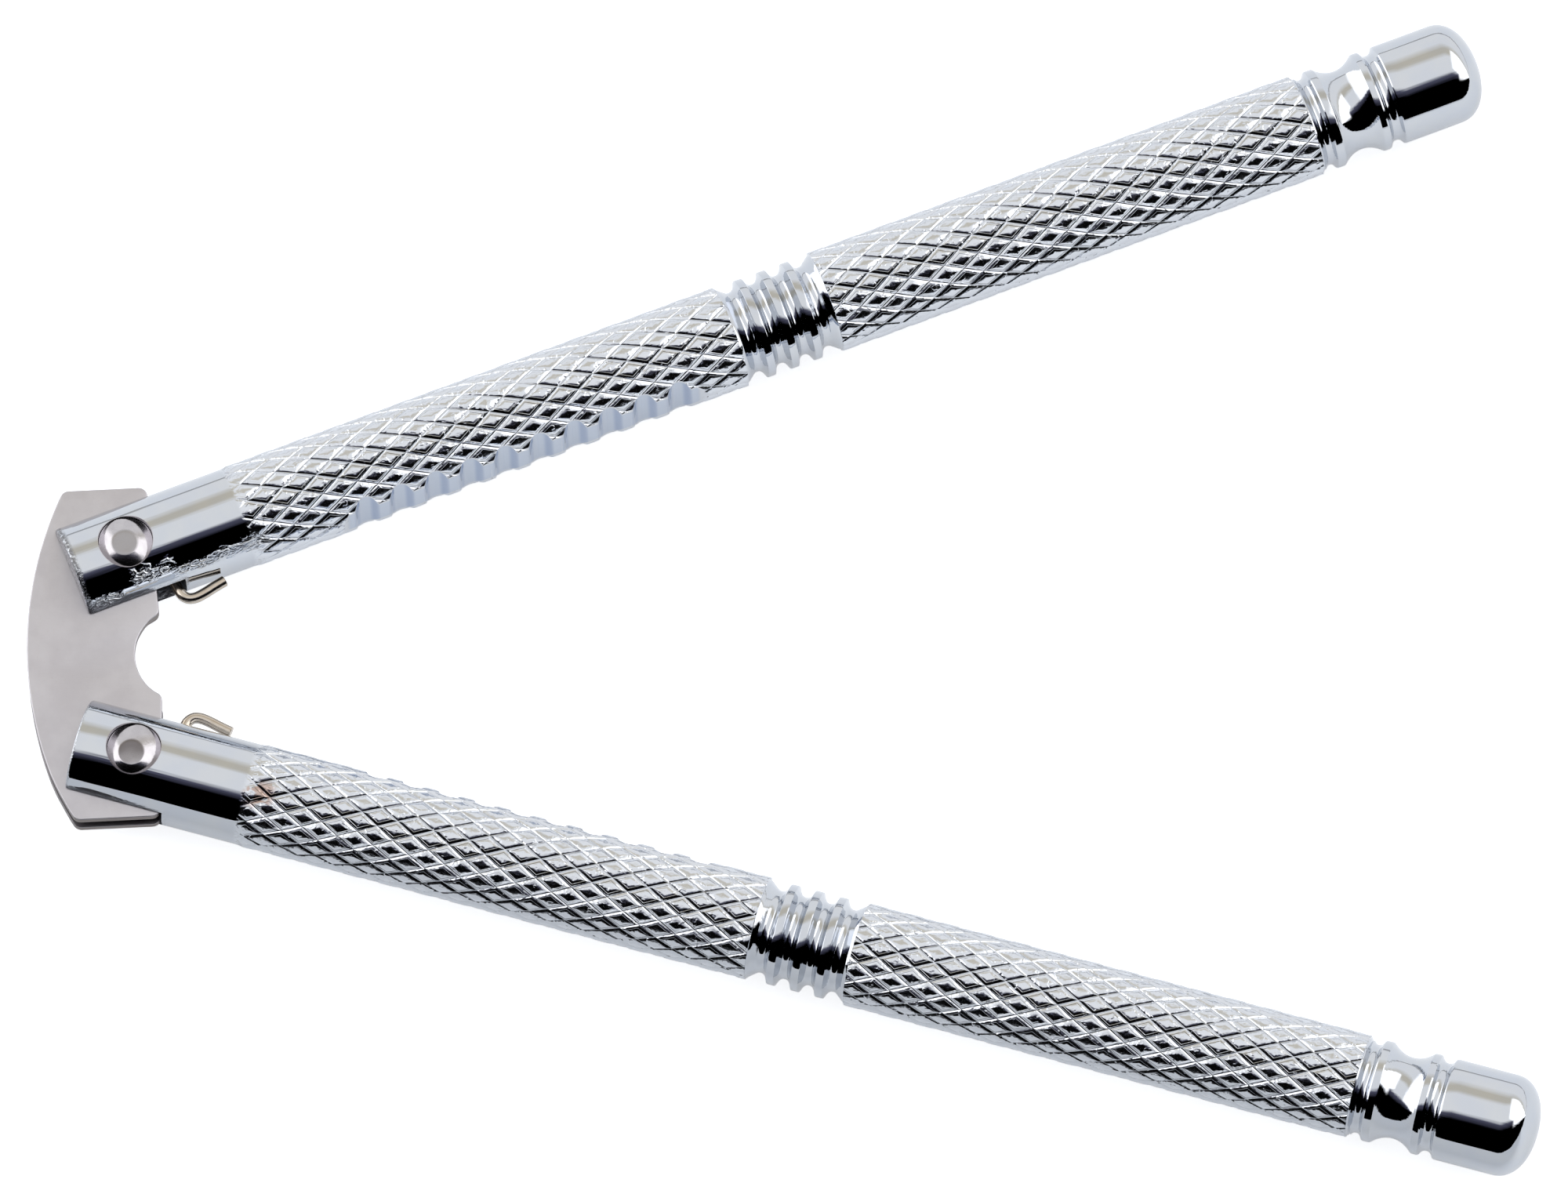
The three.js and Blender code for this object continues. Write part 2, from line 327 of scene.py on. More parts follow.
def bar(seed):
    skin = Skin()
    skin.start(ROD_START, ring(ROD_START, ROD_R - 0.22, SIDES))
    for u, r in ((ROD_START + 0.05, ROD_R - 0.1), (ROD_START + 0.16, ROD_R - 0.02),
                 (ROD_START + 0.3, ROD_R), (0.0, ROD_R), (6.0, ROD_R), (11.3, ROD_R)):
        skin.lathe(ring(u, r, SIDES))
    for (u0, u1), opened, after in ((KNURL1, True, ridge_profile()), (KNURL2, False, tail_profile())):
        verts, polys, left, right = Knurl(u0, u1, seed, opened).trimmed()
        if not opened:
            for back, r in ((0.75, 4.36), (0.55, 4.50), (0.38, 4.65), (0.22, 4.78), (0.03, 4.88)):
                skin.lathe(ring(u0 - back, r, SIDES))
        base = len(skin.verts)
        skin.verts += verts
        skin.faces += [tuple(n + base for n in f) for f in polys]
        skin.zip(skin.last, [n + base for n in left])
        skin.last = [n + base for n in right]
        seed += 1
        for u, r in after:
            skin.lathe(ring(u, r, SIDES))
    skin.point(ROD_TIP)
    return skin


def jaw_cutter():
    """Everything outside the scalloped jaw, as a closed prism across the bar."""
    start = JAW_FIRST - JAW_PITCH / 2
    end = JAW_FIRST + (JAW_COUNT - 0.5) * JAW_PITCH
    run_in, run_out = start - 1.9, end + 2.2
    line = [(run_in, -JAW_CLEAR)]
    for n in range(JAW_STEPS + 1):
        u = start + (end - start) * n / JAW_STEPS
        du = (u - JAW_FIRST + JAW_PITCH / 2) % JAW_PITCH - JAW_PITCH / 2
        scallop = JAW_VALLEY + JAW_CUT_R - math.sqrt(max(JAW_CUT_R ** 2 - du ** 2, 1e-6))
        blend = max(JAW_BLEND - abs(scallop - JAW_CREST), 0) / JAW_BLEND
        v = min(scallop, JAW_CREST) - blend * blend * JAW_BLEND / 4
        line.append((u, -v))
    outline = line + [(run_out, -JAW_CLEAR), (run_out, -CUT_FAR), (run_in, -CUT_FAR)]
    count = len(outline)
    verts = [(u, v, -CUT_REACH) for u, v in outline] + [(u, v, CUT_REACH) for u, v in outline]
    faces = [tuple(range(count)), tuple(range(2 * count - 1, count - 1, -1))]
    for a in range(count):
        b = (a + 1) % count
        faces.append((b, a, a + count, b + count))
    return verts, faces


def slot_cutter(slot_end):
    """The sawn slot, its walls a little uneven."""
    nu, nv = SLOT_STEPS
    verts, faces = [], []
    grid = {}
    for side in (0, 1):
        for a in range(nu + 1):
            for b in range(nv + 1):
                u = -CUT_FAR + (slot_end + CUT_FAR) * a / nu
                v = -SLOT_WIDE + 2 * SLOT_WIDE * b / nv
                rough = 0.035 * noise.noise(Vector((u * 1.3, v * 0.8, side * 9.1)))
                rough += 0.03 * noise.noise(Vector((u * 4.1, v * 2.0, side * 5.3)))
                z = (SLOT_HALF + rough) * (1 if side else -1)
                grid[side, a, b] = len(verts)
                verts.append((u, v, z))
    for a in range(nu):
        for b in range(nv):
            faces.append((grid[1, a, b], grid[1, a + 1, b], grid[1, a + 1, b + 1], grid[1, a, b + 1]))
            faces.append((grid[0, a, b + 1], grid[0, a + 1, b + 1], grid[0, a + 1, b], grid[0, a, b]))
    for a in range(nu):
        for b, flip in ((0, False), (nv, True)):
            f = (grid[0, a, b], grid[0, a + 1, b], grid[1, a + 1, b], grid[1, a, b])
            faces.append(f[::-1] if flip else f)
    for b in range(nv):
        for a, flip in ((0, True), (nu, False)):
            f = (grid[0, a, b], grid[0, a, b + 1], grid[1, a, b + 1], grid[1, a, b])
            faces.append(f[::-1] if flip else f)
    return verts, faces


def turned_z(profile, sides):
    """Closed solid turned about Z from (radius, height) points that start and end on the axis."""
    verts, faces, rings = [], [], []
    for r, h in profile:
        if r < 1e-9:
            rings.append([len(verts)])
            verts.append((0.0, 0.0, h))
        else:
            rings.append(list(range(len(verts), len(verts) + sides)))
            for n in range(sides):
                a = 2 * math.pi * n / sides
                verts.append((r * math.cos(a), r * math.sin(a), h))
    for low, high in zip(rings, rings[1:]):
        for n in range(sides):
            m = (n + 1) % sides
            if len(low) == 1:
                faces.append((low[0], high[m], high[n]))
            elif len(high) == 1:
                faces.append((low[n], low[m], high[0]))
            else:
                faces.append((low[n], low[m], high[m], high[n]))
    return verts, faces


def cut(obj, cutters):
    for n, (verts, faces) in enumerate(cutters):
        tool = new_object(f"cutter_{n}", verts, faces)
        mod = obj.modifiers.new("cut", "BOOLEAN")
        mod.operation = "DIFFERENCE"
        mod.solver = "MANIFOLD"
        mod.object = tool
        bpy.context.view_layer.update()
        dg = bpy.context.evaluated_depsgraph_get()
        result = bpy.data.meshes.new_from_object(obj.evaluated_get(dg), depsgraph=dg)
        obj.modifiers.remove(mod)
        obj.data = result
        bpy.data.objects.remove(tool)


def make_handle(name, seed, slot_end):
    skin = bar(seed)
    obj = new_object(name, skin.verts, skin.faces)
    bm = bmesh.new()
    bm.from_mesh(obj.data)
    bmesh.ops.recalc_face_normals(bm, faces=bm.faces[:])
    bm.to_mesh(obj.data)
    bm.free()
    reach = CUT_REACH
    hole = turned_z([(0, -reach), (HOLE_R, -reach), (HOLE_R, reach), (0, reach)], HOLE_SIDES)
    top = [(0, SPOT_Z), (SPOT_R - 0.1, SPOT_Z), (SPOT_R, SPOT_Z + 0.1), (SPOT_R, reach), (0, reach)]
    spot_top = turned_z(top, SPOT_SIDES)
    spot_low = turned_z([(r, -z) for r, z in reversed(top)], SPOT_SIDES)
    cut(obj, [slot_cutter(slot_end), hole, spot_top, spot_low, jaw_cutter()])
    return obj


def place(obj, matrix):
    """Keep each vertex's own millimetres for the material, then move the piece into the frame."""
    mesh = obj.data
    spots = np.empty(len(mesh.vertices) * 3)
    mesh.vertices.foreach_get("co", spots)
    mesh.attributes.new("place", "FLOAT_VECTOR", "POINT").data.foreach_set("vector", spots)
    mesh.transform(Matrix.Scale(MM, 4) @ matrix)
    mesh.update()


# ---- hinge plates ------------------------------------------------------------------------
PLATE_T, PLATE_GAP = 0.8, 1.25
PLATE_HALF_H, PLATE_BACK, PLATE_HOLE_R = 17.6, -10.1, 1.85
PLATE_EDGE = 0.12              # tumbled edge radius
FILLET_STEPS = 8
PLATE_END_FROM, PLATE_LOWER_END = 12.0, 0.866  # the lower end past this is shortened
BACK_NOTCH_EXTRA = 0.6         # the back sheet's notch is this much larger


def rounded(corners):
    """Outline points from corners of [x, y, fillet radius]; radius 0 keeps the point."""
    out = []
    for n, (x, y, r) in enumerate(corners):
        here = Vector((x, y))
        if not r:
            out.append(here)
            continue
        a = (Vector(corners[n - 1][:2]) - here).normalized()
        b = (Vector(corners[(n + 1) % len(corners)][:2]) - here).normalized()
        half = math.acos(max(-1, min(1, a.dot(b)))) / 2
        middle = here + (a + b).normalized() * (r / math.sin(half))
        start = here + a * (r / math.tan(half)) - middle
        end = here + b * (r / math.tan(half)) - middle
        first = math.atan2(start.y, start.x)
        sweep = (math.atan2(end.y, end.x) - first + math.pi) % (2 * math.pi) - math.pi
        for k in range(FILLET_STEPS + 1):
            t = first + sweep * k / FILLET_STEPS
            out.append(middle + r * Vector((math.cos(t), math.sin(t))))
    return out


def plate_outline(extra):
    notch_r, notch_x, shoulder, fillet = 4.9 + extra, 5.3, 4.27 + extra, 0.9
    corners = [(2.2, -PLATE_HALF_H, fillet), (2.9, -shoulder, fillet)]
    reach = math.asin(shoulder / notch_r)
    for n in range(3, 28):
        t = math.pi + reach - 2 * reach * n / 30
        corners.append((notch_x + notch_r * math.cos(t), notch_r * math.sin(t), 0))
    back_x = -6.0
    rise = back_x - PLATE_BACK
    back_r = (PLATE_HALF_H ** 2 + rise ** 2) / (2 * rise)
    spread = math.asin(PLATE_HALF_H / back_r)
    corners += [(2.9, shoulder, fillet), (2.2, PLATE_HALF_H, fillet), (back_x, PLATE_HALF_H, fillet)]
    for n in range(2, 59):
        t = math.pi - spread + 2 * spread * n / 60
        corners.append((PLATE_BACK + back_r + back_r * math.cos(t), back_r * math.sin(t), 0))
    corners.append((back_x, -PLATE_HALF_H, fillet))
    outline = rounded(corners)
    for point in outline:
        if point.y < -PLATE_END_FROM:
            point.y = -PLATE_END_FROM + (point.y + PLATE_END_FROM) * PLATE_LOWER_END
    return outline


def make_plate(name, z0, extra):
    outline = plate_outline(extra)
    count = len(outline)
    normals = []
    for n in range(count):
        along = (outline[(n + 1) % count] - outline[n - 1]).normalized()
        normals.append(Vector((along.y, -along.x)))
    if sum(outline[n - 1].cross(outline[n]) for n in range(count)) < 0:
        normals = [-n for n in normals]
    rings = []
    for step in range(6):
        turn = math.pi / 2 * step / 5
        rings.append((PLATE_EDGE * (1 - math.sin(turn)), z0 + PLATE_EDGE * (1 - math.cos(turn))))
    rings += [(inset, 2 * z0 + PLATE_T - z) for inset, z in reversed(rings)]
    verts, faces = [], []
    for inset, z in rings:
        for n in range(count):
            wear = 0.018 * noise.noise(Vector((outline[n].x * 0.8, outline[n].y * 0.8, z0)))
            p = outline[n] - normals[n] * (inset + wear + 0.018)
            verts.append((p.x, p.y, z))
    for k in range(len(rings) - 1):
        for n in range(count):
            m = (n + 1) % count
            faces.append((k * count + n, k * count + m, (k + 1) * count + m, (k + 1) * count + n))
    faces.append(tuple(range(count))[::-1])
    faces.append(tuple(range((len(rings) - 1) * count, len(rings) * count)))
    obj = new_object(name, verts, faces)
    bm = bmesh.new()
    bm.from_mesh(obj.data)
    caps = [f for f in bm.faces if len(f.verts) > 4]
    bmesh.ops.triangulate(bm, faces=caps, ngon_method="EAR_CLIP")
    bm.to_mesh(obj.data)
    bm.free()
    holes = []
    for y in (PIVOT_Y, -PIVOT_Y):
        hole_verts, hole_faces = turned_z([(0, -CUT_REACH), (PLATE_HOLE_R, -CUT_REACH),
                                           (PLATE_HOLE_R, CUT_REACH), (0, CUT_REACH)], 64)
        holes.append(([(x, v + y, z) for x, v, z in hole_verts], hole_faces))
    cut(obj, holes)
    place(obj, Matrix.Translation((PIVOT_X, 0, AXIS_Z)))
    return obj


# ---- rivets ----------------------------------------------------------------------------------
SHANK_R, HEAD_R, HEAD_FLAT_R = 1.75, 2.62, 1.22
HEAD_BASE, HEAD_RIM, HEAD_TOP = 3.6, 4.12, 4.85


def make_rivet(name, side, lean_x, lean, tilt):
    """A peened rivet; its front flat sits a little off centre and tilted, as hammered."""
    half = [(SHANK_R, HEAD_BASE - 0.5), (SHANK_R, HEAD_BASE), (HEAD_R - 0.08, HEAD_BASE),
            (HEAD_R, HEAD_BASE + 0.08), (HEAD_R, HEAD_RIM)]
    # the dome is an arc whose slope eases from the rim to the flat
    steep, easy = math.radians(33), math.radians(24)
    arc_r = (HEAD_R - HEAD_FLAT_R) / (math.sin(steep) - math.sin(easy))
    rise = arc_r * (math.cos(easy) - math.cos(steep))
    for n in range(13):
        t = steep + (easy - steep) * n / 12
        z = HEAD_RIM + arc_r * (math.cos(t) - math.cos(steep)) * (HEAD_TOP - 0.01 - HEAD_RIM) / rise
        half.append((HEAD_R - arc_r * (math.sin(steep) - math.sin(t)), z))
    half += [(HEAD_FLAT_R - 0.07, HEAD_TOP), (HEAD_FLAT_R - 0.3, HEAD_TOP - 0.004),
             (HEAD_FLAT_R * 0.4, HEAD_TOP - 0.01), (0, HEAD_TOP - 0.01)]
    profile = [(r, -z) for r, z in reversed(half)] + half
    verts, faces = turned_z(profile, 96)
    moved = []
    for x, y, z in verts:
        if z > HEAD_RIM:
            t = (z - HEAD_RIM) / (HEAD_TOP - HEAD_RIM)
            dent = 0.012 * noise.noise(Vector((x * 0.9, y * 0.9, side * 3.0)))
            x += lean_x * t
            y -= lean * t
            z += t * (tilt * y + dent - 0.012 - abs(tilt) * HEAD_FLAT_R)
        moved.append((x, y, z))
    obj = new_object(name, moved, faces)
    place(obj, Matrix.Translation((PIVOT_X, side * PIVOT_Y, AXIS_Z)))
    return obj


# ---- spring ----------------------------------------------------------------------------------
WIRE_R, WIRE_LOOP_R = 0.55, 2.4


def spring_points():
    """Centre line of the upper half: from the middle line, round the rivet, to the hooked end."""
    c, s = math.cos(math.radians(OPEN_DEG)), math.sin(math.radians(OPEN_DEG))
    points = [Vector((-WIRE_LOOP_R, PIVOT_Y * n / 8, 0)) for n in range(9)]
    for n in range(1, 11):
        t = math.pi - math.radians(148) * n / 10
        points.append(Vector((WIRE_LOOP_R * math.cos(t), PIVOT_Y + WIRE_LOOP_R * math.sin(t), 0)))
    points += [Vector((3.05, 10.4, 0)), Vector((4.1, 8.75, 0))]
    for u, v in ((3.45, -4.9), (3.62, -5.65), (4.05, -6.15), (4.7, -6.32), (5.6, -6.22),
                 (6.8, -5.95), (8.0, -5.72)):
        points.append(Vector((u * c - v * s, PIVOT_Y + u * s + v * c, 0)))
    return points


def smooth_path(points, per_span):
    """Centripetal Catmull-Rom curve through the points."""
    ends = [2 * points[0] - points[1]] + points + [2 * points[-1] - points[-2]]
    out = []
    for p0, p1, p2, p3 in zip(ends, ends[1:], ends[2:], ends[3:]):
        t1 = math.sqrt((p1 - p0).length)
        t2 = t1 + math.sqrt((p2 - p1).length)
        t3 = t2 + math.sqrt((p3 - p2).length)
        for n in range(per_span):
            t = t1 + (t2 - t1) * n / per_span
            a1 = p0 * ((t1 - t) / t1) + p1 * (t / t1)
            a2 = p1 * ((t2 - t) / (t2 - t1)) + p2 * ((t - t1) / (t2 - t1))
            a3 = p2 * ((t3 - t) / (t3 - t2)) + p3 * ((t - t2) / (t3 - t2))
            b1 = a1 * ((t2 - t) / t2) + a2 * (t / t2)
            b2 = a2 * ((t3 - t) / (t3 - t1)) + a3 * ((t - t1) / (t3 - t1))
            out.append(b1 * ((t2 - t) / (t2 - t1)) + b2 * ((t - t1) / (t2 - t1)))
    out.append(points[-1])
    return out


def make_spring_half(name, side):
    path = smooth_path(spring_points(), 7)
    sides = 24
    tangent_end = (path[-1] - path[-2]).normalized()
    stations = [(p, WIRE_R) for p in path[:-1]]
    stations += [(path[-1] - tangent_end * 0.06, WIRE_R), (path[-1], WIRE_R - 0.07)]
    verts, faces = [], []
    for n, (p, r) in enumerate(stations):
        before, after = stations[max(n - 1, 0)][0], stations[min(n + 1, len(stations) - 1)][0]
        along = (after - before).normalized()
        across = Vector((-along.y, along.x, 0))
        for k in range(sides):
            t = 2 * math.pi * k / sides
            q = p + (across * math.cos(t) + Vector((0, 0, 1)) * math.sin(t)) * r
            verts.append((q.x, side * q.y, q.z))
    for n in range(len(stations) - 1):
        for k in range(sides):
            m = (k + 1) % sides
            face = (n * sides + k, n * sides + m, (n + 1) * sides + m, (n + 1) * sides + k)
            faces.append(face if side > 0 else face[::-1])
    first, last = tuple(range(sides)), tuple(range(len(verts) - sides, len(verts)))
    faces += [first[::-1], last] if side > 0 else [first, last[::-1]]
    obj = new_object(name, verts, faces)
    place(obj, Matrix.Translation((PIVOT_X, 0, AXIS_Z)))
    return obj


# ---- materials ------------------------------------------------------------------------------
class Graph:
    """Short names for the nodes of one tree."""

    def __init__(self, tree):
        self.nodes, self.links = tree.nodes, tree.links

    def put(self, socket, value):
        if isinstance(value, bpy.types.NodeSocket):
            self.links.new(value, socket)
        else:
            socket.default_value = value

    def math(self, operation, a, b=0.0, clamp=False):
        node = self.nodes.new("ShaderNodeMath")
        node.operation, node.use_clamp = operation, clamp
        self.put(node.inputs[0], a)
        self.put(node.inputs[1], b)
        return node.outputs[0]

    def add(self, *values):
        total = values[0]
        for value in values[1:]:
            total = self.math("ADD", total, value)
        return total

    def times(self, *values):
        total = values[0]
        for value in values[1:]:
            total = self.math("MULTIPLY", total, value)
        return total

    def step(self, value, low, high, out_low=0.0, out_high=1.0):
        node = self.nodes.new("ShaderNodeMapRange")
        node.interpolation_type = "SMOOTHSTEP"
        self.put(node.inputs["Value"], value)
        for name, number in (("From Min", low), ("From Max", high),
                             ("To Min", out_low), ("To Max", out_high)):
            node.inputs[name].default_value = number
        return node.outputs["Result"]

    def between(self, value, low, high, soft):
        return self.times(self.step(value, low - soft, low + soft),
                          self.step(value, high - soft, high + soft, 1.0, 0.0))

    def stretch(self, vector, scale):
        node = self.nodes.new("ShaderNodeVectorMath")
        node.operation = "MULTIPLY"
        self.put(node.inputs[0], vector)
        node.inputs[1].default_value = scale
        return node.outputs[0]

    def split(self, vector):
        node = self.nodes.new("ShaderNodeSeparateXYZ")
        self.put(node.inputs[0], vector)
        return node.outputs

    def noise(self, vector, scale, detail=2.0, roughness=0.5):
        """Noise centred on zero, about -0.5 to 0.5."""
        node = self.nodes.new("ShaderNodeTexNoise")
        self.put(node.inputs["Vector"], self.stretch(vector, scale))
        node.inputs["Scale"].default_value = 1.0
        node.inputs["Detail"].default_value = detail
        node.inputs["Roughness"].default_value = roughness
        return self.math("SUBTRACT", node.outputs["Fac"], 0.5)

    def mix(self, factor, a, b):
        node = self.nodes.new("ShaderNodeMix")
        node.data_type = "RGBA"
        self.put(node.inputs["Factor"], factor)
        colours = [s for s in node.inputs if s.type == "RGBA"]
        for socket, value in zip(colours, (a, b)):
            self.put(socket, value if isinstance(value, bpy.types.NodeSocket) else (*value, 1))
        return next(s for s in node.outputs if s.type == "RGBA")

    def bump(self, height):
        """A bump from a height in millimetres."""
        node = self.nodes.new("ShaderNodeBump")
        node.inputs["Strength"].default_value = 1.0
        node.inputs["Distance"].default_value = MM
        self.put(node.inputs["Height"], height)
        return node.outputs["Normal"]


def new_material(name, metallic):
    mat = bpy.data.materials.new(name)
    mat.use_nodes = True
    bsdf = mat.node_tree.nodes["Principled BSDF"]
    bsdf.inputs["Metallic"].default_value = metallic
    return mat, Graph(mat.node_tree), bsdf


def local_mm(graph):
    """A point's place in the piece's own millimetres, kept on the mesh."""
    node = graph.nodes.new("ShaderNodeAttribute")
    node.attribute_name = "place"
    return node.outputs["Vector"]


def chrome_material(name, scarred, stained):
    mat, g, bsdf = new_material(name, 1.0)
    place_mm = local_mm(g)
    u, v, w = g.split(place_mm)
    width = g.math("ABSOLUTE", w)
    knurled = g.add(g.between(u, KNURL1[0], KNURL1[1], 0.3), g.between(u, KNURL2[0], KNURL2[1], 0.3))
    turned = g.add(g.between(u, KNURL1[1], KNURL2[0], 0.2), g.between(u, KNURL2[1], 132.3, 0.2))
    inside = g.step(g.math("SQRT", g.add(g.times(v, v), g.times(w, w))), 4.86, 4.80)
    jaw = g.times(inside, g.between(u, JAW_FIRST - 2.0, JAW_FIRST + JAW_PITCH * JAW_COUNT - 1.6, 0.2))
    knurled = g.times(knurled, g.math("SUBTRACT", 1.0, jaw))
    # the plating over a drawn bar: long low waves and faint streaks along it
    waves = g.times(g.noise(place_mm, (0.16, 0.3, 0.3), 1.0), 0.030)
    streaks = g.times(g.noise(place_mm, (0.05, 1.9, 1.9), 2.0), 0.008)
    rings = g.times(g.noise(place_mm, (5.0, 0.10, 0.10), 3.0, 0.7), turned, 0.006)
    grain = g.times(g.noise(place_mm, (2.2, 2.2, 2.2), 2.0, 0.5), knurled, 0.024)
    specks = g.times(g.step(g.noise(place_mm, (1.7, 1.7, 1.7), 1.0), 0.06, 0.22), knurled, 0.022)
    # torn metal along the sawn slot and the hinge end
    slot = g.times(g.step(width, SLOT_HALF + 0.05, SLOT_HALF + 0.55, 1.0, 0.0),
                   g.step(u, SLOT_END + 0.1, SLOT_END + 0.5, 1.0, 0.0))
    worn_to = 0.75 if scarred else 0.35      # how far the wear reaches along the bar
    end = g.step(u, ROD_START + worn_to / 3, ROD_START + worn_to, 1.0, 0.0)
    torn = g.math("MAXIMUM", slot, end)
    burr = g.times(g.noise(place_mm, (2.6, 2.6, 2.6), 3.0, 0.7), torn, 0.10)
    parts = [waves, streaks, rings, grain, specks, burr]
    # duller metal in the rivet's seat, its colour darkened there as painted shade, and dark on the worn end
    # rim
    radial = g.math("SQRT", g.add(g.times(u, u), g.times(v, v)))
    seat_dull_and_shade = g.times(g.step(radial, SPOT_R + 0.03, SPOT_R + 0.08, 1.0, 0.0), g.step(width, 3.0, 3.2))
    worn = g.step(g.noise(place_mm, (3.0, 3.0, 3.0), 2.0, 0.6), 0.12, -0.02)
    dull = g.times(end, worn, 0.75 if scarred else 0.15)
    rough = [0.030, g.times(torn, 0.22), g.times(knurled, 0.13), g.times(seat_dull_and_shade, 0.20)]
    if scarred:
        # splashes of torn metal beside the slot, on the jaw side of the rivet
        wander = g.times(g.noise(place_mm, (0.5, 0.7, 0.7), 2.0, 0.6), 1.3)
        low = g.add(w, wander)
        patches = (g.times(g.between(u, -0.8, 3.6, 0.5), g.between(low, 2.9, 4.0, 0.15)),
                   g.times(g.between(u, 3.8, 13.0, 0.8), g.between(low, 2.3, 3.3, 0.3)),
                   g.times(g.between(u, -5.2, -2.0, 0.4), g.between(low, 1.8, 2.9, 0.15)))
        here = g.times(g.add(*patches), g.step(v, -1.4, -2.2))
        curl = g.math("ABSOLUTE", g.noise(place_mm, (0.7, 1.3, 1.3), 1.0, 0.5))
        parts.append(g.times(g.step(curl, 0.0, 0.07, 1.0, 0.0), here, 0.09))
        parts.append(g.times(g.noise(place_mm, (2.2, 3.4, 3.4), 2.0, 0.6), here, 0.10))
        rough.append(g.times(here, 0.10))
    g.put(bsdf.inputs["Normal"], g.bump(g.add(*parts)))
    g.put(bsdf.inputs["Roughness"], g.add(*rough))
    tone = g.mix(g.step(g.noise(place_mm, (0.4, 0.4, 0.4), 3.0), -0.2, 0.2),
                 (0.600, 0.632, 0.690), (0.628, 0.652, 0.688))
    tone = g.mix(knurled, tone, (0.700, 0.728, 0.778))
    # the milled jaw is bluer, and painted shade makes it darker blue down the sides of each scallop
    around = g.math("WRAP", g.add(u, -JAW_FIRST), JAW_PITCH / 2)
    around.node.inputs[2].default_value = -JAW_PITCH / 2
    phase = g.math("ABSOLUTE", around)
    scallop_side_painted_shade = g.between(phase, 0.62, 1.22, 0.22)
    tone = g.mix(g.times(jaw, 0.8), tone, (0.56, 0.63, 0.75))
    # painted shade: darker blue down the sides of each scallop
    tone = g.mix(g.times(jaw, scallop_side_painted_shade, 0.75), tone, (0.34, 0.43, 0.62))
    if stained:
        # a rust-brown stain on the first diamonds past the neck
        near = g.times(g.between(u, 11.6, 14.4, 0.5), g.between(v, 0.2, 2.6, 0.6), g.step(w, -3.2, -4.2))
        blot = g.times(g.step(g.noise(place_mm, (0.9, 0.9, 0.9), 2.0), -0.02, 0.06), near)
        tone = g.mix(g.times(blot, 0.6), tone, (0.45, 0.24, 0.14))
    # painted shade: the rivet's seat is darker, more so on the lower handle
    tone = g.mix(g.times(seat_dull_and_shade, 0.9), tone, (0.56, 0.54, 0.57) if scarred else (0.50, 0.48, 0.51))
    g.put(bsdf.inputs["Base Color"], g.mix(dull, tone, (0.10, 0.095, 0.10)))
    return mat


def plate_material():
    mat, g, bsdf = new_material("plate_steel", 1.0)
    place_mm = local_mm(g)
    clouds = g.noise(place_mm, (0.22, 0.22, 0.22), 4.0, 0.6)
    brushed = g.noise(place_mm, (0.5, 9.0, 4.0), 2.0, 0.6)
    pits = g.noise(place_mm, (4.5, 4.5, 4.5), 3.0, 0.6)
    tone = g.mix(g.step(clouds, -0.18, 0.18), (0.530, 0.515, 0.548), (0.585, 0.572, 0.603))
    tone = g.mix(g.step(pits, 0.12, 0.26, 0.0, 0.35), tone, (0.52, 0.47, 0.47))
    # the sheared edge between the two tumbled rims is dull and darker
    upright = g.math("ABSOLUTE", g.split(g.nodes.new("ShaderNodeNewGeometry").outputs["True Normal"])[2])
    tone = g.mix(g.step(upright, 0.15, 0.5, 0.85, 0.0), tone, (0.20, 0.17, 0.15))
    # painted shade: the faces inside the gap between the sheets are much darker than the outer ones
    inner = g.math("ABSOLUTE", g.split(place_mm)[2])
    gap_painted_shade = g.step(inner, PLATE_GAP / 2 + 0.01, PLATE_GAP / 2 + 0.07, 0.85, 0.0)
    tone = g.mix(gap_painted_shade, tone, (0.10, 0.09, 0.095))
    g.put(bsdf.inputs["Base Color"], tone)
    g.put(bsdf.inputs["Roughness"], g.add(0.40, g.times(clouds, 0.10), g.times(pits, 0.06)))
    g.put(bsdf.inputs["Normal"], g.bump(g.add(g.times(brushed, 0.004), g.times(pits, 0.006),
                                             g.times(clouds, 0.02))))
    return mat


def rivet_material(name, flat_tone_and_shade):
    mat, g, bsdf = new_material(name, 1.0)
    place_mm = local_mm(g)
    clouds = g.noise(place_mm, (0.7, 0.7, 0.7), 3.0, 0.6)
    fine = g.noise(place_mm, (5.0, 5.0, 5.0), 3.0, 0.6)
    flat = g.step(g.split(place_mm)[2], HEAD_TOP - 0.13, HEAD_TOP - 0.05)
    tone = g.mix(g.step(clouds, -0.2, 0.2), (0.47, 0.455, 0.48), (0.55, 0.535, 0.56))
    # the flat top has its own duller tone, and on the lower rivet it is painted darker as shade
    g.put(bsdf.inputs["Base Color"], g.mix(flat, tone, flat_tone_and_shade))
    g.put(bsdf.inputs["Roughness"], g.add(0.17, g.times(fine, 0.08), g.times(flat, 0.14)))
    g.put(bsdf.inputs["Normal"], g.bump(g.add(g.times(fine, 0.006), g.times(clouds, 0.012))))
    return mat


